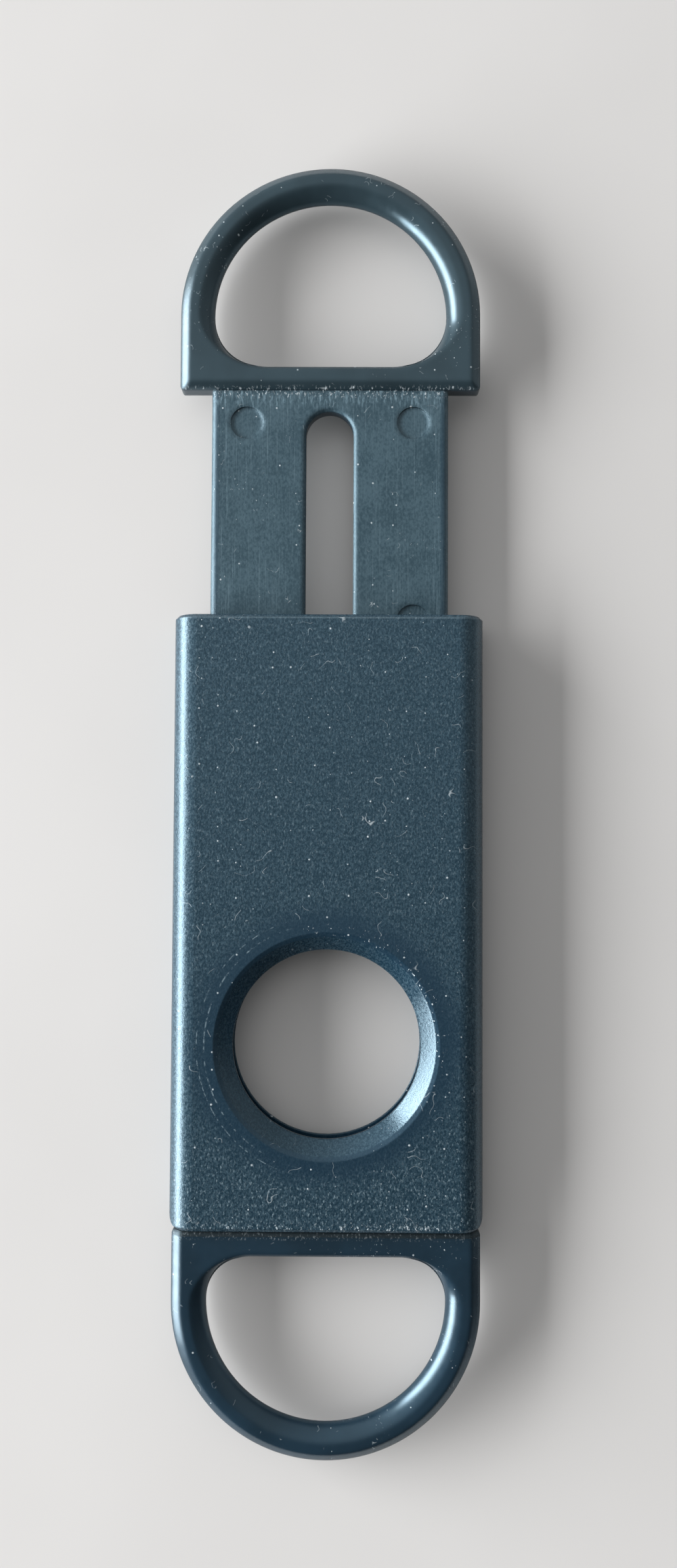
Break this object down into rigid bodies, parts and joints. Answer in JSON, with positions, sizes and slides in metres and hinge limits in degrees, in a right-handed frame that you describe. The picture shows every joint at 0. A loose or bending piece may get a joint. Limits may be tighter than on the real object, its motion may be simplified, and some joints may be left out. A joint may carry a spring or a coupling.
{
  "type": "guillotine cigar cutter",
  "caption": "Flat pocket cigar cutter: a slotted slider carries a slanted blade across a dished bore in a plastic sleeve, worked by finger loops at the ends.",
  "frame": {"origin": "centre of the cigar bore, half-way through the thickness", "axes": "+Y along the cutter towards the slider's finger loop, +Z out of the front face, +X to the right; the cutter lies flat on its back face"},
  "size_m": [0.038, 0.1583, 0.0066],
  "materials": {
    "sleeve_plastic": "black ABS, fine spark-eroded satin",
    "loop_plastic": "black ABS, semi-gloss with fine scratches",
    "blade_steel": "ground stainless strip"
  },
  "bodies": {
    "housing": {"sleeve": "sleeve_plastic", "end_loop": "loop_plastic"},
    "slider": {"slider": "loop_plastic", "blade": "blade_steel"}
  },
  "joints": [
    {"name": "slider_travel", "type": "slide", "parent": "housing", "child": "slider", "axis": [0, -1, 0], "range_m": [0, 0.0284]}
  ]
}
